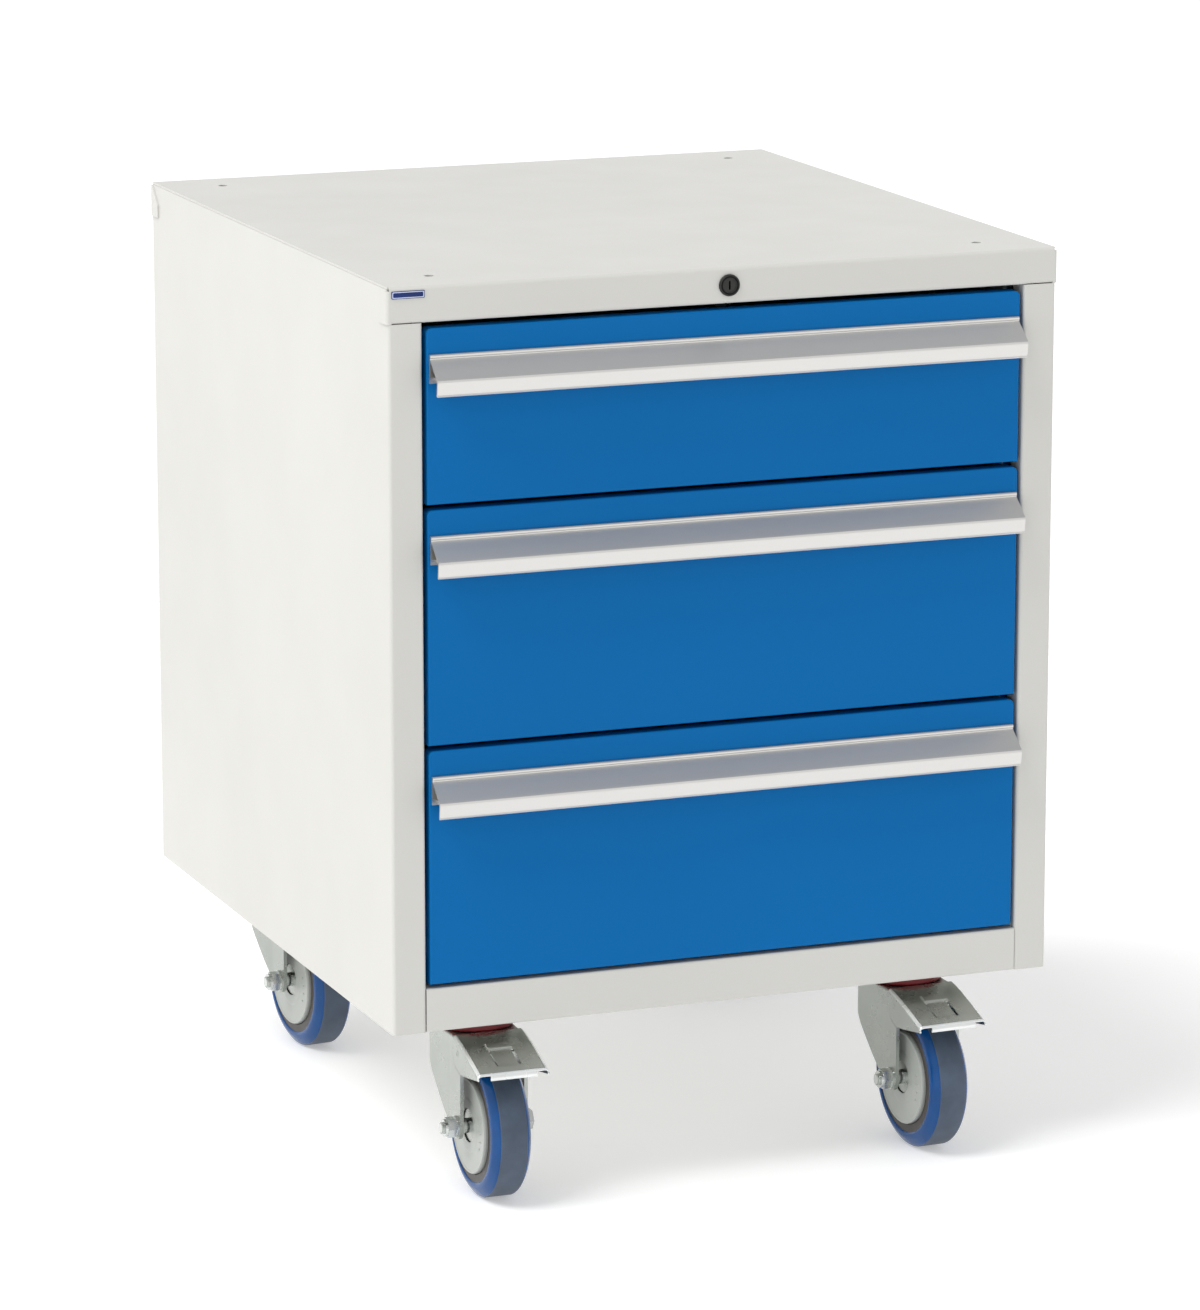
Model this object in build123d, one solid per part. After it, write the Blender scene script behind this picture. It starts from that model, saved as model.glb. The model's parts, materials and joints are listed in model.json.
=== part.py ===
"""Rolling tool chest: a sheet-steel cabinet with three full-extension drawers on four castors.

Units are millimetres. +Z is up, the floor is Z = 0, the drawers face -Y and X = 0 is the
middle of the cabinet. The origin is the middle of the bounding box on the floor.
"""
from build123d import *
from math import cos, radians, sin
import os

# Cabinet shell
BODY_WIDTH = 600.0
BODY_DEPTH = 650.0
BODY_BOTTOM = 160.0
TOTAL_HEIGHT = 792.0
SHEET = 1.5
BEND = 3.0
GAP = 0.2
POST_WIDTH = 29.5
POST_RETURN = 22.0
REAR_FLANGE = 24.0
CAP_FLANGE = 30.5
CAP_RETURN = 14.0
EAR_DEPTH = 21.5
EAR_MITRE = 16.0
BOTTOM_RAIL = 37.5
BASE_RISE = 5.0
BASE_LIP = 20.0
CHANNEL_HALF = 262.0
TOP_HOLE_X = 247.5
TOP_HOLE_Y = 277.0
TOP_HOLE_R = 4.2

# Castors
WHEEL_R = 62.5
TYRE_HALF = 17.0
TYRE_BORE = 52.0
TREAD_HALF = 11.5
TRAIL = 40.0
SWIVEL_X = 200.0
SWIVEL_INSET = 79.0
SWIVEL_SPACING = 492.0
PLATE_TOP = BODY_BOTTOM + BASE_RISE
PLATE_T = 3.0
PLATE_X = 105.0
PLATE_Y = 85.0
BOLT_SPACING_X = 80.0
BOLT_SPACING_Y = 60.0
BOLT_R = 4.0
CROWN_TOP = 141.0
CROWN_T = 3.5
LEG_OUT = 30.5
LEG_T = 3.2
KINGPIN_R = 6.0
AXLE_R = 5.0
SLEEVE_R = 6.5
LEG_END_R = 11.0
PIVOT = (-48.0, 129.0)
PIVOT_R = 3.0
CROWN_FRONT = -33.5
PEDAL_GAP = 0.2
PEDAL_T = 1.4

# How far each castor stands turned on its swivel, in degrees
TURNED = {"fl": -0.5, "fr": 2.2, "rl": 5.0, "rr": 115.0}

# The front tyres reach further forward than the cabinet does, so the box's middle is forward too
FRONT_TURN = radians(TURNED["fr"])
TYRE_REACH = (WHEEL_R + TRAIL) * cos(FRONT_TURN) + TREAD_HALF * sin(FRONT_TURN)
FRONT_OVERHANG = TYRE_REACH - SWIVEL_INSET
FRONT = FRONT_OVERHANG - (BODY_DEPTH + FRONT_OVERHANG) / 2
BACK = FRONT + BODY_DEPTH
HALF = BODY_WIDTH / 2
INSIDE = HALF - POST_WIDTH
CASTORS = {
    "fl": (-SWIVEL_X, FRONT + SWIVEL_INSET),
    "fr": (SWIVEL_X, FRONT + SWIVEL_INSET),
    "rl": (-SWIVEL_X, FRONT + SWIVEL_INSET + SWIVEL_SPACING),
    "rr": (SWIVEL_X, FRONT + SWIVEL_INSET + SWIVEL_SPACING),
}
BRAKED = ("fl", "fr")

# Drawers: bottom and height of each front, from the floor
DRAWERS = {1: (609.5, 147.0), 2: (406.0, 199.0), 3: (201.0, 200.5)}
FRONT_HALF = 267.0
FRONT_PAN = 14.0
FRONT_CORNER = 5.0
TRAY_HALF = 252.0
TRAY_WALL = 1.2
TRAY_DEPTH = 592.0
TRAY_BELOW = 8.0
TRAY_ABOVE = 22.0
HANDLE_HALF = 265.0
HANDLE_DROP = 21.5

# Runners: height of the runner's middle above the tray's floor, and the three nested rails
RUNNER_RISE = 35.0
RUNNER_LENGTH = 595.0
RUNNER_START = FRONT + 16.0
RAIL_SHEET = 1.2
OUTER_RAIL = (258.5, INSIDE, 23.0)
MIDDLE_RAIL = (256.5, 268.4, 18.6)
INNER_RAIL = (TRAY_HALF, 265.0, 14.2)

# Lock
LOCK_Z = 777.0
LOCK_CAM = 9.0
LATCH_REACH = 32.0
LATCH_HALF = 5.0
LATCH_FRONT = FRONT + 18.0
LATCH_BACK = FRONT + 22.0
LOCK_TUBE_R = 8.0
LOCK_RIM_R = 9.2
LOCK_BARREL_R = 6.0
BAR_FRONT = FRONT + 27.0
BAR_SHEET = 2.0


def block(x0, x1, y0, y1, z0, z1):
    """Box between two opposite corners."""
    centre = Pos((x0 + x1) / 2, (y0 + y1) / 2, (z0 + z1) / 2)
    return centre * Box(x1 - x0, y1 - y0, z1 - z0)


def rod_x(x0, x1, y, z, radius):
    """Cylinder along X."""
    return Pos((x0 + x1) / 2, y, z) * Rot(0, 90, 0) * Cylinder(radius, x1 - x0)


def rod_y(x, y0, y1, z, radius):
    """Cylinder along Y."""
    return Pos(x, (y0 + y1) / 2, z) * Rot(90, 0, 0) * Cylinder(radius, y1 - y0)


def rod_z(x, y, z0, z1, radius):
    """Cylinder along Z."""
    return Pos(x, y, (z0 + z1) / 2) * Cylinder(radius, z1 - z0)


def sheet_face(points, thickness=SHEET, radius=BEND):
    """Section of a folded sheet whose outer skin runs through the points, metal on the left."""
    skin = FilletPolyline(*points, radius=radius)
    return make_face(offset(skin, amount=thickness, side=Side.LEFT))


def along_x(face, x0, x1):
    """Extrude a section drawn as (y, z) from x0 to x1."""
    return Pos(x0, 0, 0) * extrude(Plane.YZ * face, amount=x1 - x0)


def along_z(face, z0, z1):
    """Extrude a section drawn as (x, y) from z0 to z1."""
    return Pos(0, 0, z0) * extrude(face, amount=z1 - z0)


def polygon(points):
    """Closed face through the points."""
    return make_face(Polyline(*points, close=True))


def mirrored(shape):
    """The same shape on the other side of X = 0."""
    return mirror(shape, about=Plane.YZ)


def save(node, *solids):
    """Write one node as a STEP file."""
    part = solids[0] if len(solids) == 1 else Compound(children=list(solids))
    part.label = node
    export_step(part, f"parts/{node}.step")


# ---------------------------------------------------------------- cabinet shell


def right_side_panel():
    """Side sheet with the front post, its return, the rear flange and a flange under the cap."""
    top = TOTAL_HEIGHT - SHEET
    outline = [
        (INSIDE, FRONT + POST_RETURN),
        (INSIDE, FRONT),
        (HALF, FRONT),
        (HALF, BACK),
        (HALF - REAR_FLANGE, BACK),
    ]
    panel = along_z(sheet_face(outline), BODY_BOTTOM, top)
    panel += block(HALF - 20, HALF - 1, FRONT + BEND, BACK - BEND, top - SHEET, top)
    notch = CAP_FLANGE + GAP
    for y0, y1 in ((FRONT - 1, FRONT + BEND + GAP), (BACK - BEND - GAP, BACK + 1)):
        panel -= block(INSIDE - 1, HALF + 1, y0, y1, TOTAL_HEIGHT - notch, TOTAL_HEIGHT)
    panel -= block(
        INSIDE - 1, INSIDE + SHEET + BEND, FRONT, FRONT + POST_RETURN + 1,
        TOTAL_HEIGHT - notch, TOTAL_HEIGHT,
    )
    crown = panel.edges().filter_by(Axis.Y).sort_by(lambda e: e.center().X + e.center().Z)[-1]
    return fillet(crown, SHEET - 0.1)


def ear(y_corner, inward):
    """Corner of the cap: its flange folded round onto the side, with a mitred top edge."""
    low = TOTAL_HEIGHT - CAP_FLANGE
    outer = HALF + SHEET
    tail = y_corner + inward * EAR_DEPTH
    outline = [(HALF - BEND, y_corner), (outer, y_corner), (outer, tail)]
    side = Side.LEFT if inward > 0 else Side.RIGHT
    skin = FilletPolyline(*outline, radius=BEND)
    flap = along_z(make_face(offset(skin, amount=SHEET, side=side)), low, TOTAL_HEIGHT - BEND)
    start = y_corner + inward * BEND * 2
    mitre = polygon([
        (start, TOTAL_HEIGHT),
        (start, TOTAL_HEIGHT - BEND),
        (tail, TOTAL_HEIGHT - EAR_MITRE - BEND),
        (tail + inward, TOTAL_HEIGHT),
    ])
    return flap - along_x(mitre, HALF - BEND, outer + 1)


def top_panel():
    """Cap: flat top with flanges down the front and rear, ears at the corners and four holes."""
    low = TOTAL_HEIGHT - CAP_FLANGE
    inner = HALF - SHEET
    outline = [
        (BACK, low),
        (BACK, TOTAL_HEIGHT),
        (FRONT, TOTAL_HEIGHT),
        (FRONT, low),
        (FRONT + CAP_RETURN, low),
    ]
    cap = along_x(sheet_face(outline), -inner, inner)
    for x in (-HALF, HALF):
        start, end = sorted((x, x * (inner - 1) / HALF))
        deck = (FRONT + BEND, BACK - BEND, TOTAL_HEIGHT - SHEET, TOTAL_HEIGHT)
        cap += block(start, end, *deck)
        beside = sorted((x * 1.01, x * (INSIDE - GAP) / HALF))
        cap -= block(*beside, FRONT + SHEET + GAP, FRONT + CAP_RETURN + 1, low - 1, low + BEND)
    for corner in (ear(FRONT, 1), ear(BACK, -1)):
        cap += corner
        cap += mirrored(corner)
    middle = (FRONT + BACK) / 2
    for x in (-TOP_HOLE_X, TOP_HOLE_X):
        for y in (middle - TOP_HOLE_Y, middle + TOP_HOLE_Y):
            cap -= rod_z(x, y, TOTAL_HEIGHT - 5, TOTAL_HEIGHT + 5, TOP_HOLE_R)
    return cap - rod_y(0, FRONT - 5, FRONT + 5, LOCK_Z, LOCK_TUBE_R)


def back_panel():
    """Flat sheet inside the side panels' rear flanges."""
    half = HALF - 2 * SHEET - 0.5
    return block(
        -half, half, BACK - 2 * SHEET, BACK - SHEET, BODY_BOTTOM + 1, TOTAL_HEIGHT - 2 * SHEET
    )


def bottom_rail():
    """Front rail below the bottom drawer, folded back at its top and foot."""
    top = BODY_BOTTOM + BOTTOM_RAIL
    outline = [
        (FRONT + 18, top),
        (FRONT, top),
        (FRONT, BODY_BOTTOM),
        (FRONT + 15, BODY_BOTTOM),
    ]
    half = INSIDE - GAP
    return along_x(sheet_face(outline, radius=2.0), -half, half)


def base_panel():
    """Floor of the cabinet: a shallow tray with its rim up, notched round the front posts."""
    floor = BODY_BOTTOM + BASE_RISE
    half = HALF - SHEET - 0.5
    ends = (FRONT + SHEET + 0.5, BACK - 2 * SHEET - GAP)
    tray = block(-half, half, *ends, floor, floor + BASE_LIP)
    inner = half - SHEET
    tray -= block(
        -inner, inner, ends[0] + SHEET, ends[1] - SHEET, floor + SHEET, floor + BASE_LIP + 1
    )
    for side in (-1, 1):
        near, far = sorted((side * (INSIDE - 1), side * HALF))
        tray -= block(near, far, FRONT, FRONT + POST_RETURN + 1, floor - 1, floor + 30)
    for x, y in CASTORS.values():
        for bolt_x, bolt_y in plate_holes(x, y):
            tray -= rod_z(bolt_x, bolt_y, floor - 1, floor + 5, BOLT_R + 0.3)
    return tray


def base_channels():
    """Two stiffening channels across the base, above the castors."""
    floor = BODY_BOTTOM + BASE_RISE + SHEET
    outline = [(-50, 0), (-50, 22), (50, 22), (50, 0)]
    channels = []
    for _, y in (CASTORS["fl"], CASTORS["rl"]):
        face = sheet_face(outline[::-1], 2.0, 4.0)
        channels.append(Pos(0, y, floor) * along_x(face, -CHANNEL_HALF, CHANNEL_HALF))
    return channels


def runner_uprights():
    """Four channels fixed inside the side sheets, which carry the runners."""
    outline = [(HALF - SHEET, 40), (INSIDE, 40), (INSIDE, 0), (HALF - SHEET, 0)]
    face = sheet_face(outline)
    low = BODY_BOTTOM + BASE_RISE + BASE_LIP + 1
    uprights = []
    for y in (FRONT + 42, BACK - 85):
        upright = Pos(0, y, 0) * along_z(face, low, TOTAL_HEIGHT - CAP_FLANGE - 4)
        uprights += [upright, mirrored(upright)]
    return uprights


# ---------------------------------------------------------------- drawers and runners


def tray_floor(drawer):
    """Height of the underside of a drawer's tray."""
    return DRAWERS[drawer][0] + TRAY_BELOW


def runner_z(drawer):
    """Height of the middle of a drawer's runners."""
    return tray_floor(drawer) + RUNNER_RISE


def rail_pair(drawer, limits, opens_inward):
    """Left and right channel rail, open towards the tray or towards the cabinet's side."""
    near, far, half = limits
    z = runner_z(drawer)
    ends = (RUNNER_START, RUNNER_START + RUNNER_LENGTH)
    rail = block(near, far, *ends, z - half, z + half)
    if opens_inward:
        hollow = (near - 1, far - RAIL_SHEET)
    else:
        hollow = (near + RAIL_SHEET, far + 1)
    inner = half - RAIL_SHEET
    rail -= block(*hollow, ends[0] - 1, ends[1] + 1, z - inner, z + inner)
    return [rail, mirrored(rail)]


def drawer_front(drawer):
    """Pan-shaped front with bent edges and rounded top corners."""
    low, height = DRAWERS[drawer]
    front = block(-FRONT_HALF, FRONT_HALF, FRONT, FRONT + FRONT_PAN, low, low + height)
    corners = front.edges().filter_by(Axis.Y).group_by(Axis.Z)[-1]
    front = fillet(corners, FRONT_CORNER)
    front = fillet(front.faces().sort_by(Axis.Y)[0].edges(), 1.4)
    wall = TRAY_WALL
    hollow = block(
        wall - FRONT_HALF, FRONT_HALF - wall, FRONT + wall, FRONT + FRONT_PAN + 1,
        low + wall, low + height - wall,
    )
    upper = hollow.edges().filter_by(Axis.Y).group_by(Axis.Z)[-1]
    return front - fillet(upper, FRONT_CORNER - wall)


def drawer_tray(drawer):
    """Open steel box behind the front."""
    low, height = DRAWERS[drawer]
    floor = low + TRAY_BELOW
    rim = low + height - TRAY_ABOVE
    start = FRONT + FRONT_PAN
    tray = block(-TRAY_HALF, TRAY_HALF, start, start + TRAY_DEPTH, floor, rim)
    wall = TRAY_WALL
    inner = TRAY_HALF - wall
    return tray - block(
        -inner, inner, start + wall, start + TRAY_DEPTH - wall, floor + wall, rim + 1
    )


def handle(drawer):
    """Full-width aluminium grip: bead, sloping label face, lip, and a web that closes a hollow."""
    low, height = DRAWERS[drawer]
    top = low + height - HANDLE_DROP
    outline = Polyline(
        (0, 0), (-2.6, 0), (-3.4, -0.9), (-3.4, -2.3), (-2.6, -3.2), (-2.6, -4.0),
        (-19.4, -17.2), (-21.0, -18.6), (-21.4, -20.4), (-20.0, -30.7), (-20.3, -31.7),
        (-19.6, -32.5), (-18.6, -32.1), (-18.2, -31.1), (-19.2, -21.4), (-17.8, -18.8),
        (-1.5, -20.4), (-1.5, -24.0), (0, -24.0),
        close=True,
    )
    hollow = Polyline((-1.5, -5.0), (-16.4, -16.9), (-1.5, -18.9), close=True)
    section = make_face(outline) - make_face(hollow)
    return Pos(0, FRONT, top) * along_x(section, -HANDLE_HALF, HANDLE_HALF)


# ---------------------------------------------------------------- lock


def lock_housing():
    """Black collar and tube in the cap's front flange, with its nut behind the sheet."""
    housing = rod_y(0, FRONT - 2.2, FRONT, LOCK_Z, LOCK_RIM_R)
    housing = fillet(housing.edges().sort_by(Axis.Y)[0], 0.8)
    housing += rod_y(0, FRONT, FRONT + 16, LOCK_Z, LOCK_TUBE_R - 0.1)
    nut = RegularPolygon(11.0, 6)
    nut_solid = extrude(Plane.XZ * nut, amount=-4)
    housing += Pos(0, FRONT + SHEET, LOCK_Z) * nut_solid
    return housing - rod_y(0, FRONT - 5, FRONT + 20, LOCK_Z, LOCK_BARREL_R + 0.05)


def lock_barrel():
    """Turning barrel with a keyway."""
    barrel = rod_y(0, FRONT - 1.6, LATCH_FRONT, LOCK_Z, LOCK_BARREL_R)
    return barrel - block(-0.8, 0.8, FRONT - 3, FRONT + 8, LOCK_Z - 3.6, LOCK_Z + 3.6)


def lock_cam():
    """Latch arm on the barrel's tail, with the pin that drives the lock bar near its root."""
    tip = LOCK_Z - LATCH_REACH
    cam = rod_y(0, LATCH_FRONT, LATCH_BACK, LOCK_Z, 6.5)
    cam += block(-LATCH_HALF, LATCH_HALF, LATCH_FRONT, LATCH_BACK, tip, LOCK_Z)
    cam += rod_y(0, LATCH_FRONT, LATCH_BACK, tip, LATCH_HALF)
    return cam + rod_y(0, LATCH_BACK, BAR_FRONT + 3, LOCK_Z - LOCK_CAM, 2)


def lock_bar():
    """Link across the front with an upright bar beside the drawers, lifted by the cam."""
    pin_z = LOCK_Z - LOCK_CAM
    ends = (BAR_FRONT, BAR_FRONT + BAR_SHEET)
    bar = block(-290, 10, *ends, pin_z - 7, pin_z + 7)
    slot = block(-LOCK_CAM - 3, 4, ends[0] - 1, ends[1] + 1, pin_z - 4.2, pin_z + 4.2)
    upright = block(-290, -275, *ends, BODY_BOTTOM + 40, pin_z + 7)
    return bar + upright - slot


def badge_plate():
    """Small blank plate at the cap's left corner."""
    plate = block(-297, -268.5, FRONT - 0.8, FRONT, 782.5, 788.8)
    return fillet(plate.edges().filter_by(Axis.Y), 0.8)


# ---------------------------------------------------------------- castors



def plate_holes(x, y):
    """Bolt positions of one castor plate."""
    return [
        (x + side * BOLT_SPACING_X / 2, y + end * BOLT_SPACING_Y / 2)
        for side in (-1, 1)
        for end in (-1, 1)
    ]


def castor_plate(x, y):
    """Top plate with its upper ball race and riveted kingpin."""
    plate = block(
        x - PLATE_X / 2, x + PLATE_X / 2, y - PLATE_Y / 2, y + PLATE_Y / 2,
        PLATE_TOP - PLATE_T, PLATE_TOP,
    )
    plate = fillet(plate.edges().filter_by(Axis.Z), 8)
    plate += rod_z(x, y, 150, PLATE_TOP - PLATE_T, 30)
    plate += rod_z(x, y, CROWN_TOP - CROWN_T - 4, 152, KINGPIN_R)
    plate += rod_z(x, y, CROWN_TOP - CROWN_T - 7, CROWN_TOP - CROWN_T - 0.4, 10)
    for bolt_x, bolt_y in plate_holes(x, y):
        plate -= rod_z(bolt_x, bolt_y, 150, 170, BOLT_R + 0.3)
    return plate


def plate_bolts():
    """Sixteen hexagon bolts, heads under the castor plates and nuts above the base."""
    bolts = []
    head = RegularPolygon(7.5, 6)
    under = PLATE_TOP - PLATE_T
    above = PLATE_TOP + SHEET
    for x, y in CASTORS.values():
        for bolt_x, bolt_y in plate_holes(x, y):
            bolt = rod_z(bolt_x, bolt_y, under, above + 9, BOLT_R)
            bolt += Pos(bolt_x, bolt_y, under - 4.5) * extrude(head, amount=4.5)
            bolt += Pos(bolt_x, bolt_y, above) * extrude(head, amount=6)
            bolts.append(bolt)
    return bolts


def dust_seal(x, y):
    """Red ring that closes the swivel's ball race."""
    seal = rod_z(x, y, CROWN_TOP + 0.5, 150, 35)
    seal = fillet(seal.edges().sort_by(Axis.Z)[0], 2)
    return seal - rod_z(x, y, CROWN_TOP, 151, 22)


def fork(braked):
    """Pressed fork: crown on the kingpin and two flared legs, the swivel axis at X = Y = 0."""
    axle = (-TRAIL, WHEEL_R)
    crease, flare_x, flare_y = -24.5, 33.5, 21.0
    front = -56.0
    plan = [
        (LEG_OUT, front), (LEG_OUT, crease), (flare_x, flare_y), (18, 38),
        (-18, 38), (-flare_x, flare_y), (-LEG_OUT, crease), (-LEG_OUT, front),
    ]
    outer = make_face(FilletPolyline(*plan, radius=[8, 8, 8, 8, 8, 8], close=False)
                      + Line(plan[-1], plan[0]))
    inner = offset(outer, amount=-LEG_T)
    shell = along_z(outer, 40, CROWN_TOP)
    shell = fillet(shell.faces().sort_by(Axis.Z)[-1].edges().filter_by(
        lambda e: e.center().Y > front + 1), 2.5)
    shell -= along_z(inner, 39, CROWN_TOP - CROWN_T)
    shell -= block(LEG_T - LEG_OUT, LEG_OUT - LEG_T, front - 1, crease, 39, CROWN_TOP - CROWN_T)
    side = polygon([
        (axle[0] - LEG_END_R, axle[1]), (axle[0] - LEG_END_R, 112), (front, 117),
        (front, 130), (-37, 133.5), (CROWN_FRONT, CROWN_TOP - 4), (CROWN_FRONT, CROWN_TOP + 1),
        (40, CROWN_TOP + 1), (40, 126), (26, 119), (20, 107), (14.5, 98), (5, 87.5), (-6, 76),
        (-17, 66), (-27, 58), (-34, 52.6), (axle[0], 51),
    ])
    side += Pos(*axle) * Circle(LEG_END_R)
    body = shell & along_x(side, -45, 45)
    body -= block(LEG_T - LEG_OUT, LEG_OUT - LEG_T, front - 1, CROWN_FRONT, 39, CROWN_TOP + 2)
    body -= rod_z(0, 0, 130, 145, KINGPIN_R + 0.06)
    if braked:
        body -= rod_x(-40, 40, *PIVOT, PIVOT_R + 0.05)
    return body - rod_x(-40, 40, *axle, AXLE_R + 0.1)


def pedal_pin():
    """Pin through both fork legs that the pedal turns on."""
    half = LEG_OUT + PEDAL_GAP + PEDAL_T
    pin = rod_x(-half - 0.2, half + 0.2, *PIVOT, PIVOT_R)
    for side in (-1, 1):
        near, far = sorted((side * (half + 0.2), side * (half + 1.6)))
        pin += rod_x(near, far, *PIVOT, 4.5)
    return pin


def axle():
    """Axle bolt with its nut, and the spacer sleeve between the legs."""
    y, z = -TRAIL, WHEEL_R
    bolt = rod_x(-LEG_OUT - 14, LEG_OUT + 1, y, z, AXLE_R)
    bolt = chamfer(bolt.edges().sort_by(Axis.X)[0], 1)
    hexagon = Plane.YZ * RegularPolygon(9.2, 6)
    bolt += Pos(LEG_OUT, y, z) * extrude(hexagon, amount=6.5)
    nut = Pos(-LEG_OUT - 9, y, z) * extrude(hexagon, amount=7.5)
    nut += rod_x(-LEG_OUT - 1.5, -LEG_OUT, y, z, 9.5)
    nut += rod_x(-LEG_OUT - 11.5, -LEG_OUT - 9, y, z, 7.6)
    nut -= rod_x(-LEG_OUT - 13, -LEG_OUT + 1, y, z, AXLE_R)
    reach = LEG_OUT - LEG_T
    sleeve = rod_x(-reach, reach, y, z, SLEEVE_R) - rod_x(-reach, reach, y, z, AXLE_R)
    return [bolt, nut, sleeve]


def turned(points):
    """Solid of revolution about the wheel's axle from a section drawn as (x, radius)."""
    section = Plane.XY * polygon(points)
    ring = revolve(section, Axis.X, 360)
    return Pos(0, -TRAIL, WHEEL_R) * ring


def tyre():
    """Elastic tyre with a flat tread and rounded shoulders."""
    outline = Polyline(
        (-TYRE_HALF, TYRE_BORE), (-TYRE_HALF, 54), (-15.2, 58.2), (-TREAD_HALF - 1.4, WHEEL_R - 0.8),
        (-TREAD_HALF, WHEEL_R), (TREAD_HALF, WHEEL_R), (TREAD_HALF + 1.4, WHEEL_R - 0.8),
        (15.2, 58.2), (TYRE_HALF, 54), (TYRE_HALF, TYRE_BORE),
        close=True,
    )
    section = make_face(outline)
    shoulders = section.vertices().filter_by(lambda v: 53 < v.Y < 59)
    section = fillet(shoulders, 2.0)
    return Pos(0, -TRAIL, WHEEL_R) * revolve(section, Axis.X, 360)


def wheel_rim():
    """Moulded wheel centre: tyre seat, web and bearing hub."""
    return turned([
        (-16.8, TYRE_BORE), (-16.8, 42.5), (-4, 40), (-4, 22), (-17, 20), (-17, 14), (17, 14),
        (17, 20), (4, 22), (4, 40), (16.8, 42.5), (16.8, TYRE_BORE),
    ])


def wheel_bearings():
    """Ball bearing at each end of the hub, as closed rings."""
    y, z = -TRAIL, WHEEL_R
    rings = []
    for side in (-1, 1):
        near, far = sorted((side * 8, side * 18.5))
        ring = rod_x(near, far, y, z, 14) - rod_x(near, far, y, z, SLEEVE_R + 0.05)
        rings.append(ring)
    return rings


def thread_guards():
    """Dished cover disc on each face of the wheel."""
    disc = turned([
        (18.9, 14.5), (18.9, 39.4), (15.5, 40.9), (15.5, 41.7), (18.0, 41.9), (20.3, 40.4),
        (20.3, 14.5),
    ])
    return [disc, mirrored(disc)]


def pedal():
    """Brake pedal: hood over the tyre with cheeks outside the fork legs, and the brake shoe."""
    outside = LEG_OUT + PEDAL_GAP + PEDAL_T
    crest = [(-37, 142.5), (-51, 139.5), (-76, 132.0), (-101, 123.5)]
    hood = Spline(*crest)
    below = Spline(*[(y, z - PEDAL_T) for y, z in crest])
    top_face = make_face(Curve() + hood + Line(hood @ 1, below @ 1) + below
                         + Line(below @ 0, hood @ 0))
    cheek_foot = Polyline(hood @ 1, (-101, 119.0), (-95, 117.7), (-53, 111.6), (-42, 116.0),
                          (-36.5, 128.0), hood @ 0)
    cheek_face = make_face(Curve() + hood + cheek_foot)
    body = along_x(top_face, -outside, outside)
    for side in (-1, 1):
        near, far = sorted((side * outside, side * (outside - PEDAL_T)))
        body += along_x(cheek_face, near, far)
    shoe = polygon([(-56, 125.0), (-66, 123.0), (-68, 133.4), (-56, 137.2)])
    body += along_x(shoe, -12, 12)
    body -= block(7, 9.2, -92, -78, 110, 140)
    body += rod_x(-outside + 4, outside - 4, -98, 120.0, 1.6)
    body += block(-outside + 4, outside - 4, -99.4, -97.8, 119.5, 123.7)
    return body - rod_x(-40, 40, *PIVOT, PIVOT_R + 0.06)


# ---------------------------------------------------------------- write every node

os.makedirs("parts", exist_ok=True)

right = right_side_panel()
save("right_side_panel", right)
save("left_side_panel", mirrored(right))
save("top_panel", top_panel())
save("back_panel", back_panel())
save("base_panel", base_panel())
save("bottom_rail", bottom_rail())
save("base_channels", *base_channels())
save("runner_uprights", *runner_uprights())
save("badge_plate", badge_plate())
save("lock_housing", lock_housing())
save("lock_barrel", lock_barrel())
save("lock_cam", lock_cam())
save("lock_bar", lock_bar())

outer_rails = []
for drawer in DRAWERS:
    save(f"drawer_front_{drawer}", drawer_front(drawer))
    save(f"drawer_tray_{drawer}", drawer_tray(drawer))
    save(f"drawer_handle_{drawer}", handle(drawer))
    save(f"inner_rails_{drawer}", *rail_pair(drawer, INNER_RAIL, False))
    save(f"middle_rails_{drawer}", *rail_pair(drawer, MIDDLE_RAIL, True))
    outer_rails += rail_pair(drawer, OUTER_RAIL, True)
save("outer_rails", *outer_rails)

save("castor_plates", *[castor_plate(x, y) for x, y in CASTORS.values()])
save("castor_plate_bolts", *plate_bolts())
save("dust_seals", *[dust_seal(x, y) for x, y in CASTORS.values()])

for corner, (x, y) in CASTORS.items():
    place = Pos(x, y, 0) * Rot(0, 0, TURNED[corner])
    save(f"fork_{corner}", place * fork(corner in BRAKED))
    save(f"axle_{corner}", *[place * piece for piece in axle()])
    save(f"tyre_{corner}", place * tyre())
    save(f"wheel_rim_{corner}", place * wheel_rim())
    save(f"wheel_bearings_{corner}", *[place * ring for ring in wheel_bearings()])
    save(f"thread_guards_{corner}", *[place * disc for disc in thread_guards()])
    if corner in BRAKED:
        save(f"brake_pedal_{corner}", place * pedal())
        save(f"pedal_pin_{corner}", place * pedal_pin())
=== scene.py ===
"""Looks of the rolling tool chest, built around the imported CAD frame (metres)."""
import json
from math import cos, pi, radians, sin

import bmesh
import bpy
from mathutils import Matrix, Vector


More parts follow.
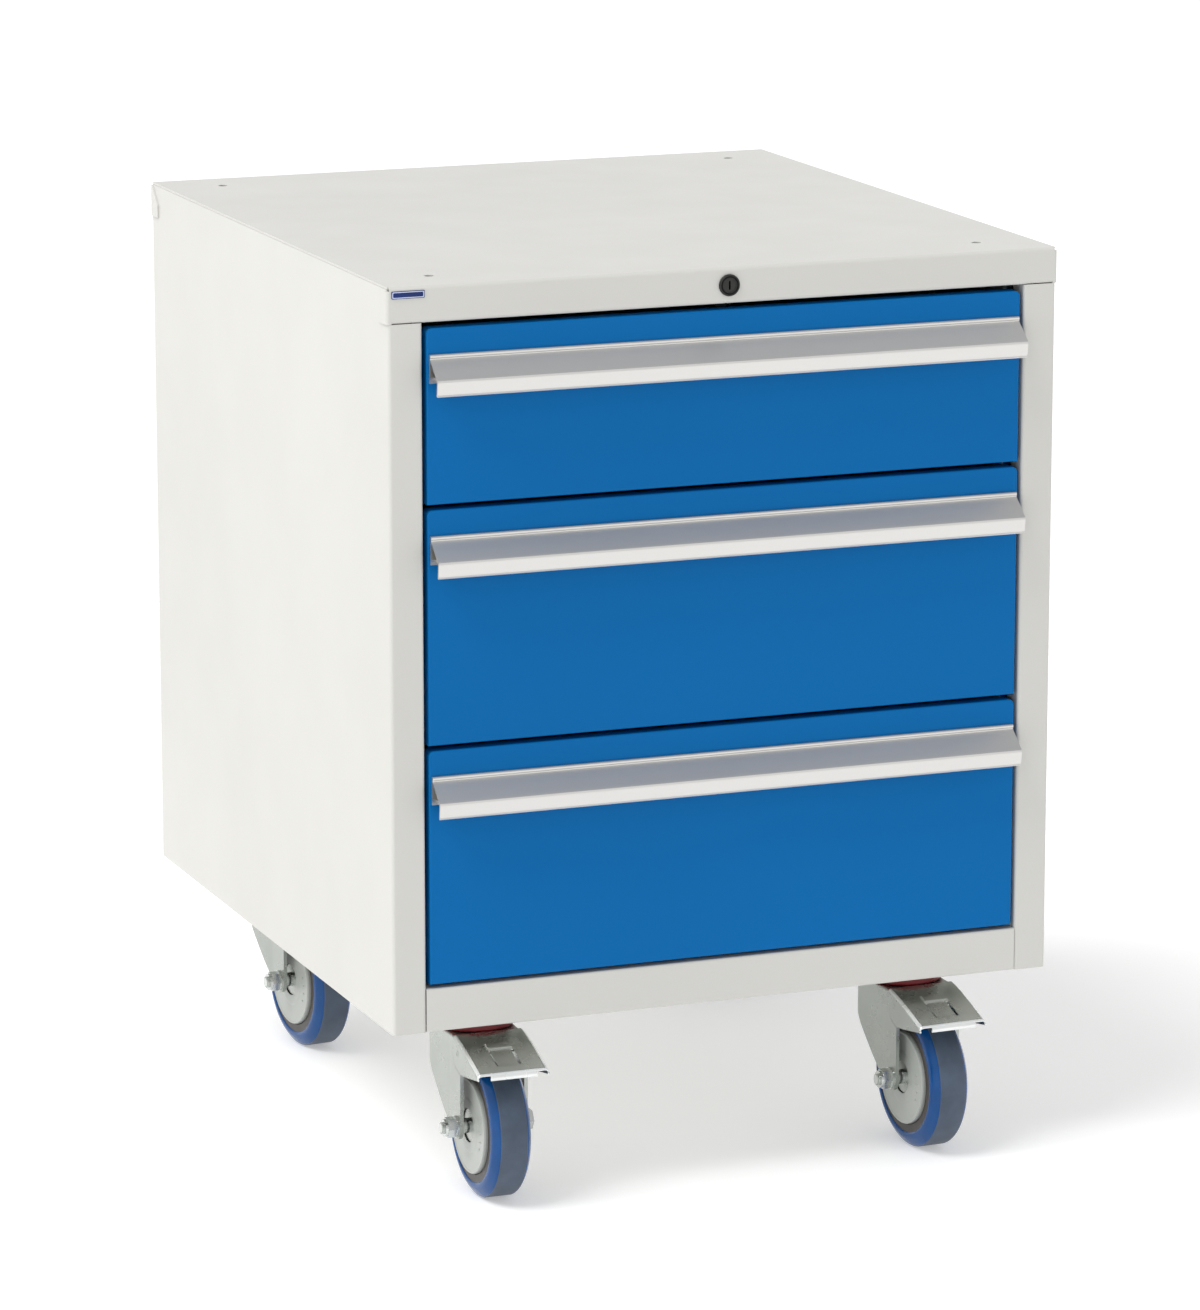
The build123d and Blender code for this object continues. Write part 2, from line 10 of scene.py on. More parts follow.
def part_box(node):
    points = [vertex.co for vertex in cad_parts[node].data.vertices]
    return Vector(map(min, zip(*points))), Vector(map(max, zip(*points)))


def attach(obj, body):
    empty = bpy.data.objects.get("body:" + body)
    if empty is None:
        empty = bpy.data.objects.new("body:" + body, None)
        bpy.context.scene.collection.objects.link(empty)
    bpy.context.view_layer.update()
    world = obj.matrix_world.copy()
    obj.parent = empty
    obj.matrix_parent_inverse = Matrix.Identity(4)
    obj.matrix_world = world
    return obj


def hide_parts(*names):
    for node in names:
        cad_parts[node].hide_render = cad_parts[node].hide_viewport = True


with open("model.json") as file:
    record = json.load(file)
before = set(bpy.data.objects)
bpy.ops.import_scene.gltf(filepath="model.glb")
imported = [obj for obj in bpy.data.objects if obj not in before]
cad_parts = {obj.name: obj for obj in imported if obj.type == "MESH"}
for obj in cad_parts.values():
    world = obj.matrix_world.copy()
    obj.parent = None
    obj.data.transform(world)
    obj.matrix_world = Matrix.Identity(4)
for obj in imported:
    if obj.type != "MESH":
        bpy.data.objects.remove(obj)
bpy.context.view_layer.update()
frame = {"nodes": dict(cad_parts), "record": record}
MM = 0.001

# Castors, in millimetres from the swivel axis and the floor, as the CAD frame has them
CASTORS = ("fl", "fr", "rl", "rr")
BRAKED = ("fl", "fr")
LEG_OUT = 30.5
BOLT_TIP = -LEG_OUT - 14.0
PIVOT_Y = -48.0
PIVOT_Z = 129.0
AXLE_Y = -40.0
AXLE_Z = 62.5
TREAD_FROM_R = 61.85
PIP_CIRCLE_R = 31.0
GUARD_FACE = 19.6

# Brake pedal's hood: crest and foot are heights of its top and of its cheeks' lower edge along -Y
PEDAL_HALF = 31.9
PEDAL_SHEET = 1.2
PEDAL_BEND = 3.5
PEDAL_STEP = 0.75
PEDAL_ROWS = 82
ROLL_R = 2.4
CREST = [(-37.0, 142.5), (-44.0, 141.3), (-51.0, 139.5), (-60.0, 137.0), (-68.0, 134.5),
         (-76.0, 132.0), (-84.0, 129.3), (-92.0, 126.5), (-98.0, 124.5)]
FOOT = [(-36.5, 128.0), (-42.0, 116.0), (-53.0, 111.6), (-74.0, 114.6), (-95.0, 118.2),
        (-101.4, 119.6)]
STRAP_HALF = 11.0
STRAP_RISE = 1.5
TONGUE_DROP = 0.6

# Ball cages in the runners
BALL_R = 1.5
BALL_STEP = 13.0
CAGE_LENGTH = 285.0
CAGE_SHEET = 0.6
CAGE_HALF = 2.6

# ---------------------------------------------------------------- materials


class Shader:
    """A Principled material with a few short calls for procedural detail."""

    def __init__(self, name, colour, roughness, metallic=0.0, specular=0.5):
        self.material = bpy.data.materials.new(name)
        self.material.use_nodes = True
        self.tree = self.material.node_tree
        self.shader = self.tree.nodes["Principled BSDF"]
        self.set("Base Color", (*colour, 1.0))
        self.set("Roughness", roughness)
        self.set("Metallic", metallic)
        self.set("Specular IOR Level", specular)
        self.place = self.tree.nodes.new("ShaderNodeTexCoord").outputs["Object"]

    def set(self, socket, value):
        self.shader.inputs[socket].default_value = value

    def link(self, output, target):
        self.tree.links.new(output, target)

    def stretched(self, scale):
        """The piece's own coordinates, stretched along each axis."""
        mapping = self.tree.nodes.new("ShaderNodeMapping")
        mapping.inputs["Scale"].default_value = scale
        self.link(self.place, mapping.inputs["Vector"])
        return mapping.outputs["Vector"]

    def noise(self, scale, detail=3.0, stretch=(1, 1, 1), distortion=0.0):
        node = self.tree.nodes.new("ShaderNodeTexNoise")
        node.inputs["Scale"].default_value = scale
        node.inputs["Detail"].default_value = detail
        node.inputs["Distortion"].default_value = distortion
        self.link(self.stretched(stretch), node.inputs["Vector"])
        return node.outputs["Fac"]

    def cells(self, scale):
        node = self.tree.nodes.new("ShaderNodeTexVoronoi")
        node.inputs["Scale"].default_value = scale
        self.link(self.place, node.inputs["Vector"])
        return node.outputs["Color"]

    def ramp(self, value, low, high, start=0.35, end=0.65):
        """Map a value to a colour or grey between two ends."""
        node = self.tree.nodes.new("ShaderNodeValToRGB")
        first, last = node.color_ramp.elements
        first.position, last.position = start, end
        first.color = (*low, 1) if hasattr(low, "__len__") else (low, low, low, 1)
        last.color = (*high, 1) if hasattr(high, "__len__") else (high, high, high, 1)
        self.link(value, node.inputs["Fac"])
        return node.outputs["Color"]

    def vary(self, socket, value, low, high, start=0.35, end=0.65):
        self.link(self.ramp(value, low, high, start, end), self.shader.inputs[socket])

    def bump(self, *layers):
        """Stack bump layers, each (value, strength, distance in metres)."""
        normal = None
        for value, strength, distance in layers:
            node = self.tree.nodes.new("ShaderNodeBump")
            node.inputs["Strength"].default_value = strength
            node.inputs["Distance"].default_value = distance
            self.link(value, node.inputs["Height"])
            if normal:
                self.link(normal, node.inputs["Normal"])
            normal = node.outputs["Normal"]
        self.link(normal, self.shader.inputs["Normal"])
        return self.material


def tone(colour, factor):
    """The same colour, lighter or darker."""
    return tuple(min(1.0, channel * factor) for channel in colour)


def powder_coat(name, colour, roughness=0.42, specular=0.3):
    """Powder coat: slow shade drift, orange peel, and roughness that wanders a little."""
    coat = Shader(name, colour, roughness, 0.0, specular)
    coat.vary("Base Color", coat.noise(2.3, 2), tone(colour, 0.98), tone(colour, 1.02))
    coat.vary("Roughness", coat.noise(14, 4), roughness - 0.03, roughness + 0.05)
    return coat.bump(
        (coat.noise(520, 3), 0.10, 0.0003),
        (coat.noise(1900, 2), 0.05, 0.0002),
    )


def anodised(name, colour, sloping, roughness=0.38):
    """Drawn and anodised aluminium, with its own colour on faces that slope up at about 50 degrees."""
    metal = Shader(name, colour, roughness, 0.9)
    normal = metal.tree.nodes.new("ShaderNodeNewGeometry").outputs["Normal"]
    split = metal.tree.nodes.new("ShaderNodeSeparateXYZ")
    metal.link(normal, split.inputs["Vector"])
    ramp = metal.tree.nodes.new("ShaderNodeValToRGB")
    stops = ramp.color_ramp.elements
    stops[0].position, stops[1].position = 0.60, 0.68
    stops[0].color, stops[1].color = (*colour, 1), (*sloping, 1)
    for position, shade in ((0.86, sloping), (0.92, colour)):
        stops.new(position).color = (*shade, 1)
    metal.link(split.outputs["Z"], ramp.inputs["Fac"])
    metal.link(ramp.outputs["Color"], metal.shader.inputs["Base Color"])
    metal.vary("Roughness", metal.noise(900, 2, (0.012, 1, 1)), roughness - 0.02, roughness + 0.02)
    return metal.bump((metal.noise(900, 2, (0.012, 1, 1)), 0.02, 0.0001))


def zinc(name, colour, roughness=0.27, metallic=0.92):
    """Bright zinc plate: smooth, with very soft clouds of tone."""
    metal = Shader(name, colour, roughness, metallic)
    clouds = metal.noise(18, 3, distortion=0.3)
    metal.vary("Base Color", clouds, tone(colour, 0.95), tone(colour, 1.04))
    metal.vary("Roughness", metal.noise(45, 3), roughness - 0.02, roughness + 0.04)
    return metal.bump((metal.noise(22, 2), 0.05, 0.0004))


def galvanised(name, colour, roughness=0.42):
    """Galvanised sheet with a faint spangle."""
    metal = Shader(name, colour, roughness, 0.8)
    metal.vary("Base Color", metal.cells(95), tone(colour, 0.88), tone(colour, 1.08), 0.1, 0.9)
    metal.vary("Roughness", metal.cells(95), roughness - 0.06, roughness + 0.08, 0.1, 0.9)
    return metal.bump((metal.noise(300, 3), 0.08, 0.0002))


def moulded(name, colour, roughness=0.5, grain=900, specular=0.5, spread=0.06):
    """Moulded plastic or rubber with a fine grain."""
    plastic = Shader(name, colour, roughness, 0.0, specular)
    low, high = tone(colour, 1 - spread), tone(colour, 1 + spread)
    plastic.vary("Base Color", plastic.noise(60, 4), low, high)
    plastic.vary("Roughness", plastic.noise(120, 3), roughness - 0.02, roughness + 0.03)
    return plastic.bump((plastic.noise(grain, 3), 0.08, 0.0002))


GREY = (0.60, 0.595, 0.562)
BLUE = (0.0, 0.130, 0.385)
ZINC = (0.40, 0.42, 0.39)
TYRE_BLUE = (0.003, 0.060, 0.215)
materials = {
    "cabinet_paint": powder_coat("cabinet_paint", GREY),
    "drawer_paint": powder_coat("drawer_paint", BLUE, 0.42, 0.09),
    "tray_paint": powder_coat("tray_paint", (0.42, 0.43, 0.42), 0.45),
    "anodised_aluminium": anodised("anodised_aluminium", (0.66, 0.65, 0.63), (0.64, 0.64, 0.63)),
    "galvanised_sheet": galvanised("galvanised_sheet", (0.55, 0.56, 0.55)),
    "bright_zinc": zinc("bright_zinc", ZINC),
    # Lighter copy of the zinc for the hood's top, the same sheet as its cheeks: painted light.
    "hood_zinc": zinc("hood_zinc", (0.56, 0.58, 0.54)),
    "polished_zinc": zinc("polished_zinc", (0.62, 0.64, 0.62), 0.14),
    # Pale, less metallic copy of the zinc for the pedal's bends, rolled front and tab: a painted
    # highlight.
    "zinc_edge": zinc("zinc_edge", (0.82, 0.84, 0.82), 0.25, 0.45),
    "blue_tyre": moulded("blue_tyre", TYRE_BLUE, 0.16, specular=0.3),
    # Slate grey for the tread: part wear, part a painted sheen on the blue rubber.
    "tread_grey": moulded("tread_grey", (0.05, 0.073, 0.112), 0.45, spread=0.15),
    "rim_nylon": moulded("rim_nylon", (0.045, 0.038, 0.034), 0.4),
    "guard_grey": moulded("guard_grey", (0.40, 0.42, 0.39), 0.3, spread=0.02),
    "seal_red": moulded("seal_red", (0.20, 0.012, 0.018), 0.45),
    "lock_black": moulded("lock_black", (0.022, 0.022, 0.020), 0.4, specular=0.3),
    "lock_rim": moulded("lock_rim", (0.004, 0.004, 0.004), 0.3, specular=0.2),
    "badge_blue": moulded("badge_blue", (0.006, 0.022, 0.13), 0.25, specular=0.25),
    "badge_edge": moulded("badge_edge", (0.55, 0.60, 0.80), 0.3),
}

looks = {row["node"]: row["material_slot"] for row in frame["record"]["subparts"]}
looks.update({f"axle_{corner}": "polished_zinc" for corner in CASTORS})
looks["lock_cam"] = "lock_rim"
for node, obj in frame["nodes"].items():
    obj.data.materials.clear()
    obj.data.materials.append(materials[looks[node]])

# ---------------------------------------------------------------- building pieces

joints = {joint["name"]: joint for joint in frame["record"]["behaviour"]["joints"]}


def castor_matrix(corner):
    """From one castor's own millimetres (swivel axis at X = Y = 0) to the frame."""
    x, y, _ = joints[f"castor_{corner}_swivel"]["pos_m"]
    axle = Vector(joints[f"wheel_{corner}_spin"]["axis"])
    turn = Vector((1, 0)).angle_signed(Vector((axle.x, axle.y)))
    return Matrix.Translation((x, y, 0)) @ Matrix.Rotation(-turn, 4, "Z") @ Matrix.Scale(MM, 4)


def tidy(mesh):
    """Merge the corners that meet and turn every face of a closed mesh outward."""
    work = bmesh.new()
    work.from_mesh(mesh)
    bmesh.ops.remove_doubles(work, verts=work.verts, dist=1e-6)
    bmesh.ops.recalc_face_normals(work, faces=work.faces)
    work.to_mesh(mesh)
    work.free()


def piece(name, points, faces, body, slot, face_looks=None, angle=30, matrix=None, closed=True):
    """A mesh in the frame that rides on a body. face_looks names one material for each face."""
    mesh = bpy.data.meshes.new(name)
    mesh.from_pydata([(matrix or Matrix()) @ Vector(p) for p in points], [], faces)
    names = sorted(set(face_looks)) if face_looks else [slot]
    for entry in names:
        mesh.materials.append(materials[entry])
    if face_looks:
        mesh.polygons.foreach_set("material_index", [names.index(look) for look in face_looks])
    if closed:
        tidy(mesh)
    mesh.polygons.foreach_set("use_smooth", [True] * len(mesh.polygons))
    mesh.set_sharp_from_angle(angle=radians(angle))
    obj = bpy.data.objects.new(name, mesh)
    bpy.context.collection.objects.link(obj)
    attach(obj, body)
    return obj


def rounded(points, radius, steps=5, close=True):
    """The polyline with each corner rounded, as far as its two sides allow."""
    out = []
    count = len(points)
    for i, corner in enumerate(points):
        if not close and i in (0, count - 1):
            out.append(corner)
            continue
        here = Vector(corner)
        before = Vector(points[i - 1]) - here
        after = Vector(points[(i + 1) % count]) - here
        reach = min(radius, before.length * 0.45, after.length * 0.45)
        start = here + before.normalized() * reach
        end = here + after.normalized() * reach
        for k in range(steps + 1):
            t = k / steps
            out.append(tuple(start.lerp(here, t).lerp(here.lerp(end, t), t)))
    return out


def lathe(profile, y, z, sides=96, look=None):
    """Closed profile of (x, radius) turned about the line along X through (y, z)."""
    points, faces, face_looks = [], [], []
    count = len(profile)
    for k in range(sides):
        angle = 2 * pi * k / sides
        for x, radius in profile:
            points.append((x, y + radius * sin(angle), z + radius * cos(angle)))
    for k in range(sides):
        here, there = k * count, (k + 1) % sides * count
        for i in range(count):
            j = (i + 1) % count
            faces.append((here + i, here + j, there + j, there + i))
            if look:
                face_looks.append(look(*profile[i], *profile[j]))
    return points, faces, face_looks


# ---------------------------------------------------------------- castors


def tyre(corner):
    """Tyre with glossy blue shoulders, a fine edge line and a dull slate tread, its grey part wear and
    part painted sheen.
    """
    half = [
        (17.05, 49.6), (17.7, 50.4), (17.9, 52.2), (17.4, 54.6), (16.4, 56.6), (14.6, 59.4),
        (13.0, 61.3), (12.2, 61.8), (11.8, 61.9), (11.4, 62.3), (10.8, 62.5),
    ]
    shoulder = rounded(half, 1.2, 4, False)
    profile = [(-17.05, 49.4), (-16.0, 52.0), (16.0, 52.0), (17.05, 49.4)] + shoulder
    profile += [(-x, r) for x, r in reversed(shoulder)]

    def look(x0, r0, x1, r1):
        # Above TREAD_FROM_R the tread takes its slate grey: part wear, part painted sheen.
        return "tread_grey" if min(r0, r1) > TREAD_FROM_R else "blue_tyre"

    points, faces, face_looks = lathe(profile, AXLE_Y, AXLE_Z, 144, look)
    obj = piece(f"tyre_visual_{corner}", points, faces, f"wheel_{corner}", "blue_tyre",
                face_looks, 25, castor_matrix(corner))
    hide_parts(f"tyre_{corner}")


def thread_guard(corner):
    """Dished grey cover discs with a bright rolled rim, a step round the hub and raised pips."""
    points, faces = [], []
    section = rounded([
        (18.9, 14.5), (18.9, 38.6), (15.5, 40.4), (15.5, 41.6), (18.4, 41.8), (20.3, 41.2),
        (20.3, 39.8), (19.7, 39.0), (19.6, 24.0), (19.9, 22.5), (19.9, 14.5),
    ], 0.6, 4)
    for side in (1, -1):
        ring_points, ring_faces, _ = lathe([(side * x, r) for x, r in section], AXLE_Y, AXLE_Z)
        start = len(points)
        points += ring_points
        order = 1 if side > 0 else -1
        faces += [tuple(start + i for i in face[::order]) for face in ring_faces]
        for angle in (-22, -8, 6, 20):
            a = radians(angle + 96)
            middle = (AXLE_Y - PIP_CIRCLE_R * sin(a), AXLE_Z + PIP_CIRCLE_R * cos(a))
            start = len(points)
            pip = ((0.0, 1.1), (0.5, 0.9), (0.6, 0.3))
            ring = [(side * (GUARD_FACE + rise), radius) for rise, radius in pip]
            pip_points, pip_faces, _ = lathe(ring, *middle, 12)
            points += pip_points
            faces += [tuple(start + i for i in face[::order]) for face in pip_faces]
    obj = piece(f"guards_visual_{corner}", points, faces, f"wheel_{corner}", "guard_grey",
                matrix=castor_matrix(corner))
    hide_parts(f"thread_guards_{corner}")


def axle_end(corner):
    """Thread on the bolt's end, where it stands out of the nut."""
    profile = [(BOLT_TIP + 0.02, 0.0), (BOLT_TIP + 0.02, 4.2)]
    for k in range(4):
        start = BOLT_TIP + k * 0.8
        profile += [(start + 0.5, 5.15), (start + 0.9, 4.7)]
    profile += [(BOLT_TIP + 3.8, 5.1), (BOLT_TIP + 3.8, 0.0)]
    points, faces, _ = lathe(profile, AXLE_Y, AXLE_Z, 48)
    piece(f"axle_thread_{corner}", points, faces, f"castor_{corner}", "bright_zinc",
          matrix=castor_matrix(corner))


for corner in CASTORS:
    tyre(corner)
    thread_guard(corner)
    axle_end(corner)

# ---------------------------------------------------------------- brake pedals


def along(table, y):
    """Height from a table of (y, z) whose y goes down."""
    if y >= table[0][0]:
        return table[0][1]
    for (y0, z0), (y1, z1) in zip(table, table[1:]):
        if y >= y1:
            return z0 + (z1 - z0) * (y - y0) / (y1 - y0)
    return table[-1][1]


def smooth(value, low, high):
    """0 below low, 1 above high, and a soft step between."""
    t = min(1.0, max(0.0, (value - low) / (high - low)))
    return t * t * (3 - 2 * t)


def relief(x, y):
    """Height of the pressed strap and tongue over the hood."""
    inside = 1 - smooth(abs(x), STRAP_HALF - 0.4, STRAP_HALF + 0.6)
    strap = smooth(-y, 57.0, 58.6) * (1 - smooth(-y, 65.8, 67.2))
    tongue = smooth(-y, 66.0, 67.2) * (1 - smooth(-y, 84.0, 92.0))
    return inside * (STRAP_RISE * strap - TONGUE_DROP * tongue)


def hood_row(y, flat):
    """One line across the hood at y: cheek, bend, top with its relief, bend and cheek."""
    top = along(CREST, y)
    edge = top - PEDAL_BEND
    foot = min(along(FOOT, y), edge - 0.5)
    side = [edge - (edge - foot) * k / 8 for k in range(9)]
    bend = [(PEDAL_BEND * cos(k / 8 * pi / 2), PEDAL_BEND * sin(k / 8 * pi / 2)) for k in range(1, 8)]
    columns = [-flat + flat * 2 * k / 96 for k in range(97)]
    row = [(-PEDAL_HALF, y, z) for z in reversed(side)]
    row += [(-flat - out, y, edge + up) for out, up in bend]
    row += [(x, y, top + relief(x, y)) for x in columns]
    row += [(flat + out, y, edge + up) for out, up in reversed(bend)]
    return row + [(PEDAL_HALF, y, z) for z in side]


def rolled_front(row):
    """The front edge, rolled down from the hood's last row."""
    last = row[0][1]
    top = along(CREST, last)
    rows = []
    for k in range(1, 7):
        a = k / 6 * radians(80)
        drop, reach = ROLL_R * (1 - cos(a)), ROLL_R * sin(a)
        rolled = []
        for x, _, z in row:
            low = max(z - drop, top - 6.0)
            rolled.append((x, last - reach, low if z > top - PEDAL_BEND - 0.1 else z))
        rows.append(rolled)
    return rows


def in_slot(x, y):
    """True inside the slots beside the tongue, the right one wider than the left."""
    return (9.0 < x < 11.4 or -10.6 < x < -9.6) and -89.0 < y < -68.0


def pedal(corner):
    """Hood with rolled edges, a pressed strap and tongue, two slots and a rolled front edge."""
    flat = PEDAL_HALF - PEDAL_BEND
    rows = [hood_row(-37.0 - k * PEDAL_STEP, flat) for k in range(PEDAL_ROWS)]
    rows += rolled_front(rows[-1])
    width = len(rows[0])
    points = [point for row in rows for point in row]
    faces, face_looks = [], []
    for i in range(len(rows) - 1):
        for j in range(width - 1):
            x = (rows[i][j][0] + rows[i][j + 1][0]) / 2
            y = (rows[i][j][1] + rows[i + 1][j][1]) / 2
            on_top = abs(rows[i][j][0]) <= flat and abs(rows[i][j + 1][0]) <= flat
            if on_top and in_slot(x, y):
                continue
            at = i * width + j
            faces.append((at, at + width, at + width + 1, at + 1))
            # Faces on the bends and the rolled front take the pale zinc: a painted highlight along the
            # edges.
            gets_painted_highlight = flat + 0.6 < abs(x) < PEDAL_HALF - 0.3 or i >= PEDAL_ROWS
            # The hood's top takes a lighter zinc than the cheeks of the same sheet: painted light on
            # the top.
            flat_look = "hood_zinc" if abs(x) < flat else "bright_zinc"
            face_looks.append("zinc_edge" if gets_painted_highlight else flat_look)
    obj = piece(f"pedal_visual_{corner}", points, faces, f"pedal_{corner}", "bright_zinc",
                face_looks, 50, castor_matrix(corner), closed=False)
    thick = obj.modifiers.new("sheet", "SOLIDIFY")
    thick.thickness = PEDAL_SHEET * MM
    thick.offset = -1
    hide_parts(f"brake_pedal_{corner}")


def bar_x(x0, x1, outline):
    """Bar along X from a closed (y, z) outline, with its ends closed."""
    count = len(outline)
    points = [(x, y, z) for x in (x0, x1) for y, z in outline]
    faces = [(i, (i + 1) % count, count + (i + 1) % count, count + i) for i in range(count)]
    faces += [tuple(range(count))[::-1], tuple(range(count, 2 * count))]
    return points, faces


def pedal_lip(corner):
    """Turned-down tab along the hood's front edge, and the brake shoe below the hood."""
    tab = rounded([(-99.2, 124.0), (-101.6, 121.0), (-100.9, 118.2), (-98.9, 118.0),
                   (-98.4, 119.4), (-99.6, 120.6), (-98.2, 122.8)], 0.9, 4)
    points, faces = bar_x(-20.0, 21.0, tab)
    # The tab takes the pale zinc material all over: a painted highlight along the hood's front edge.
    piece(f"pedal_lip_{corner}", points, faces, f"pedal_{corner}", "bright_zinc",
          ["zinc_edge"] * len(faces), 40, castor_matrix(corner))
    shoe = rounded([(-56, 125.0), (-66, 123.0), (-68, 132.4), (-56, 136.0)], 0.8, 3)
    points, faces = bar_x(-12.0, 12.0, shoe)
    piece(f"brake_shoe_{corner}", points, faces, f"pedal_{corner}", "bright_zinc",
          angle=40, matrix=castor_matrix(corner))


def pedal_pivot(corner):
    """Pin set flush in the hood's cheeks, with a small punched recess in each end."""
    end = PEDAL_HALF + 0.25
    profile = [(-end + 1.4, 0.0), (-end + 1.2, 1.0), (-end, 1.7), (-end, 2.6), (-end + 0.3, 2.9),
               (-end + 1.8, 2.9), (end - 1.8, 2.9), (end - 0.3, 2.9), (end, 2.6), (end, 1.7),
               (end - 1.2, 1.0), (end - 1.4, 0.0)]
    points, faces, _ = lathe(profile, PIVOT_Y, PIVOT_Z, 32)
    obj = piece(f"pivot_visual_{corner}", points, faces, f"castor_{corner}", "bright_zinc",
                matrix=castor_matrix(corner))
    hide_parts(f"pedal_pin_{corner}")


for corner in BRAKED:
    pedal(corner)
    pedal_lip(corner)
    pedal_pivot(corner)

# ---------------------------------------------------------------- lock and badge


def lock_face():
    """Domed collar rim round the keyed barrel."""
    low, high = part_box("lock_housing")
    centre = (low + high) / 2 / MM
    front = low.y / MM
    profile = [(0.0, 6.1), (0.0, 8.2), (0.5, 9.0), (1.4, 9.2), (2.1, 9.2), (2.1, 6.1)]
    points, faces, _ = lathe(rounded(profile, 0.5, 3), 0, 0, 64)
    turned = [(centre.x + y, front + x, centre.z + z) for x, y, z in points]
    piece("lock_collar_visual", turned, faces, "cabinet", "lock_black",
          ["lock_rim"] * len(faces), matrix=Matrix.Scale(MM, 4))


def badge_border():
    """Fine pale border pressed round the blank badge."""
    low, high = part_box("badge_plate")
    low, high = low / MM, high / MM
    front, edge, width = low.y - 0.02, 0.5, 0.7
    rings = []
    for inset in (edge, edge + width):
        x0, x1, z0, z1 = low.x + inset, high.x - inset, low.z + inset, high.z - inset
        rings.append(rounded([(x0, z0), (x1, z0), (x1, z1), (x0, z1)], 1.0, 4))
    count = len(rings[0])
    points = [(x, front + depth, z) for depth in (0.0, 0.1) for ring in rings for x, z in ring]
    faces = []
    for i in range(count):
        j = (i + 1) % count
        outer, inner = (i, j), (count + i, count + j)
        back_outer, back_inner = (2 * count + i, 2 * count + j), (3 * count + i, 3 * count + j)
        faces.append((*outer, *inner[::-1]))
        faces.append((*back_outer, *back_inner[::-1]))
        faces.append((*outer, *back_outer[::-1]))
        faces.append((*inner, *back_inner[::-1]))
    piece("badge_border", points, faces, "cabinet", "badge_blue",
          ["badge_edge"] * len(faces), matrix=Matrix.Scale(MM, 4))


lock_face()
badge_border()

# ---------------------------------------------------------------- ball cages in the runners


def balls(places, radius, rings=6, sides=10):
    """Small spheres, all in one mesh."""
    points, faces = [], []
    for x, y, z in places:
        start = len(points)
        for i in range(rings + 1):
            a = pi * i / rings
            for k in range(sides):
                b = 2 * pi * k / sides
                points.append((x + radius * sin(a) * cos(b), y + radius * sin(a) * sin(b),
                               z + radius * cos(a)))
        for i in range(rings):
            for k in range(sides):
                here = start + i * sides
                there = here + sides
                faces.append((here + k, there + k, there + (k + 1) % sides, here + (k + 1) % sides))
    return points, faces


def cages(drawer):
    """Strips of balls: the rear ones roll in the cabinet's rails, the front ones on the drawer's."""
    low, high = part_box(f"middle_rails_{drawer}")
    front, back = low.y / MM, high.y / MM
    middle = (low.z + high.z) / 2 / MM
    body = f"runner_{drawer}"
    places, points, faces = [], [], []
    for side in (-1, 1):
        for x, rise, start in ((262.0, 20.2, back - 8 - CAGE_LENGTH), (260.0, 15.8, front + 8)):
            for z in (middle - rise, middle + rise):
                count = int(CAGE_LENGTH / BALL_STEP)
                places += [(side * x, start + (k + 0.5) * BALL_STEP, z) for k in range(count)]
                at = len(points)
                near, far = sorted((side * (x - CAGE_HALF), side * (x + CAGE_HALF)))
                below, above, end = z - CAGE_SHEET / 2, z + CAGE_SHEET / 2, start + CAGE_LENGTH
                outline = [(start, below), (end, below), (end, above), (start, above)]
                bar_points, bar_faces = bar_x(near, far, outline)
                points += bar_points
                faces += [tuple(at + i for i in face) for face in bar_faces]
    scale = Matrix.Scale(MM, 4)
    piece(f"cage_strips_{drawer}", points, faces, body, "galvanised_sheet", matrix=scale)
    points, faces = balls(places, BALL_R)
    piece(f"cage_balls_{drawer}", points, faces, body, "bright_zinc", angle=80, matrix=scale)


for drawer in (1, 2, 3):
    cages(drawer)

# ---------------------------------------------------------------- stage, light and camera


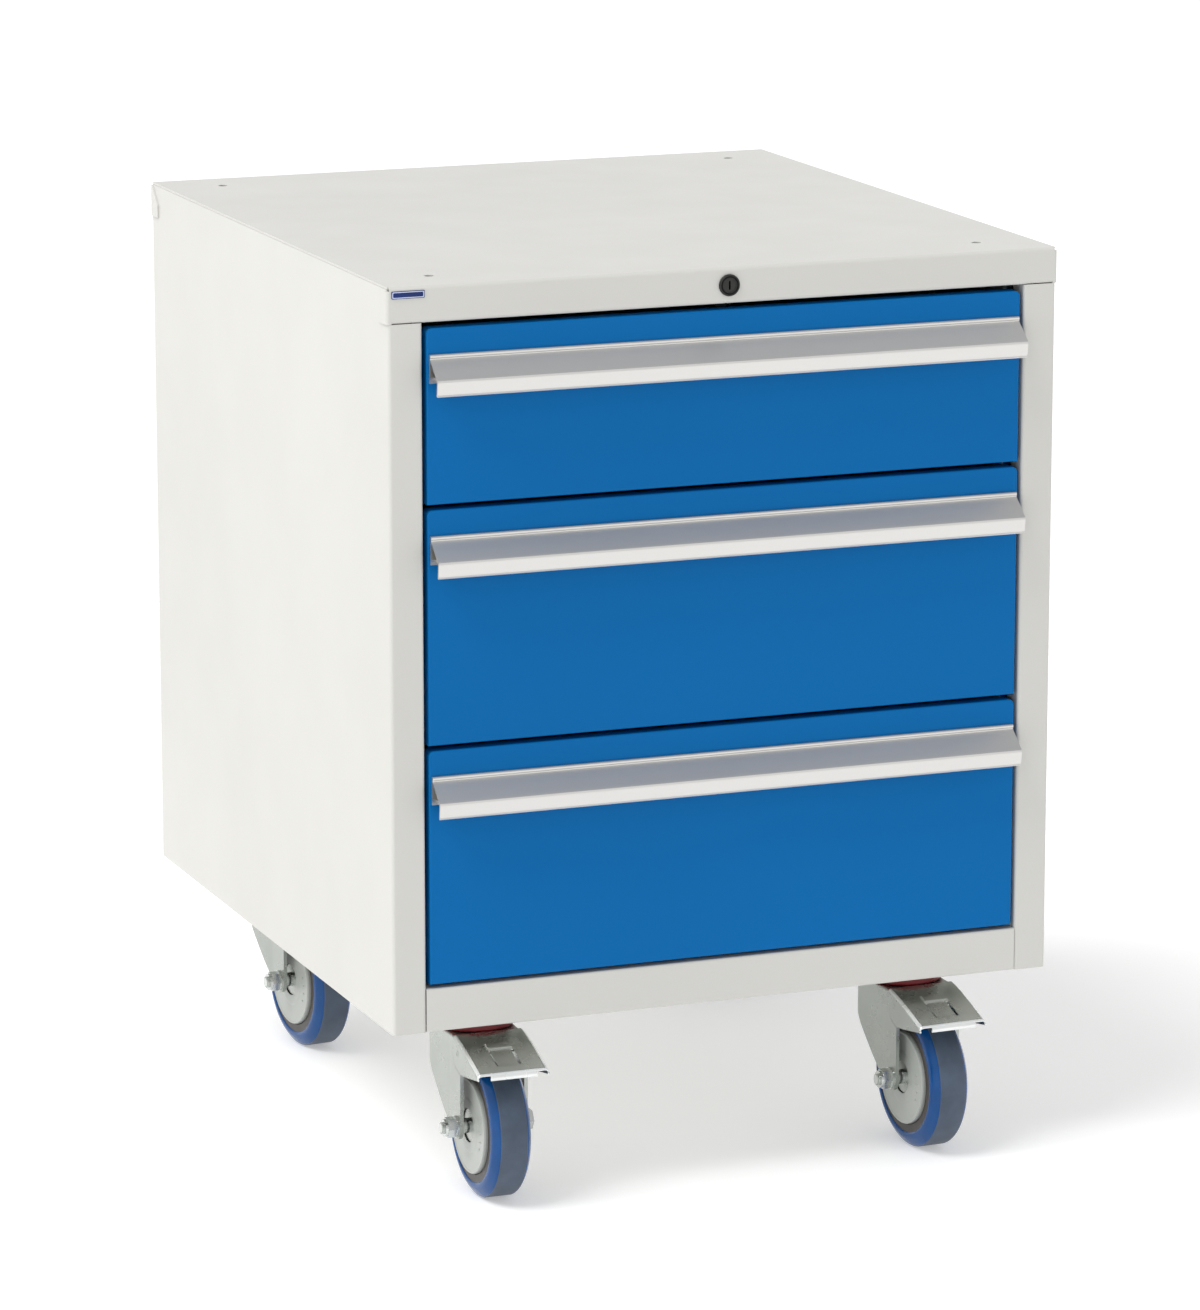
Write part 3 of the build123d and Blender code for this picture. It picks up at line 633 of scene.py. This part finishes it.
def stage():
    """Plain white floor and a pale sky that is darker overhead."""
    bpy.ops.mesh.primitive_plane_add(size=60)
    floor = bpy.context.object
    floor.name = "floor"
    paper = Shader("floor_paper", (0.78, 0.78, 0.78), 0.9, 0.0, 0.1)
    paper.vary("Base Color", paper.noise(1.5), (0.775, 0.775, 0.775), (0.785, 0.785, 0.785))
    paper.set("Emission Color", (1.0, 1.0, 1.0, 1.0))
    paper.set("Emission Strength", 0.34)
    floor.data.materials.append(paper.material)
    world = bpy.data.worlds.new("soft_sky")
    world.use_nodes = True
    tree = world.node_tree
    place = tree.nodes.new("ShaderNodeTexCoord").outputs["Generated"]
    split = tree.nodes.new("ShaderNodeSeparateXYZ")
    ramp = tree.nodes.new("ShaderNodeValToRGB")
    first, last = ramp.color_ramp.elements
    first.position, last.position = 0.10, 0.95
    first.color = (1.0, 1.0, 1.0, 1.0)
    last.color = (0.42, 0.42, 0.43, 1.0)
    ramp.color_ramp.elements.new(0.25).color = (0.88, 0.88, 0.88, 1.0)
    tree.links.new(place, split.inputs["Vector"])
    tree.links.new(split.outputs["Z"], ramp.inputs["Fac"])
    tree.links.new(ramp.outputs["Color"], tree.nodes["Background"].inputs["Color"])
    tree.nodes["Background"].inputs["Strength"].default_value = 1.0
    bpy.context.scene.world = world


def sun(name, towards, strength, softness):
    """Parallel soft light that comes from a direction."""
    data = bpy.data.lights.new(name, "SUN")
    data.energy = strength
    data.angle = radians(softness)
    obj = bpy.data.objects.new(name, data)
    bpy.context.collection.objects.link(obj)
    obj.rotation_euler = Vector(towards).to_track_quat("Z", "Y").to_euler()
    return obj


def camera():
    """Long lens, from the front and left, looking a little down."""
    azimuth, drop = radians(21.24), radians(12.64)
    data = bpy.data.cameras.new("camera")
    data.sensor_fit = "HORIZONTAL"
    data.sensor_width = 36.0
    data.lens = 182.8
    data.clip_end = 100.0
    obj = bpy.data.objects.new("camera", data)
    bpy.context.collection.objects.link(obj)
    obj.location = (-1.9134, -4.9400, 1.5847)
    obj.rotation_euler = (pi / 2 - drop, 0.0, -azimuth)
    bpy.context.scene.camera = obj


stage()
sun("key", (-0.52, -0.06, 0.85), 2.2, 35)
camera()

scene = bpy.context.scene
scene.view_settings.view_transform = "Standard"
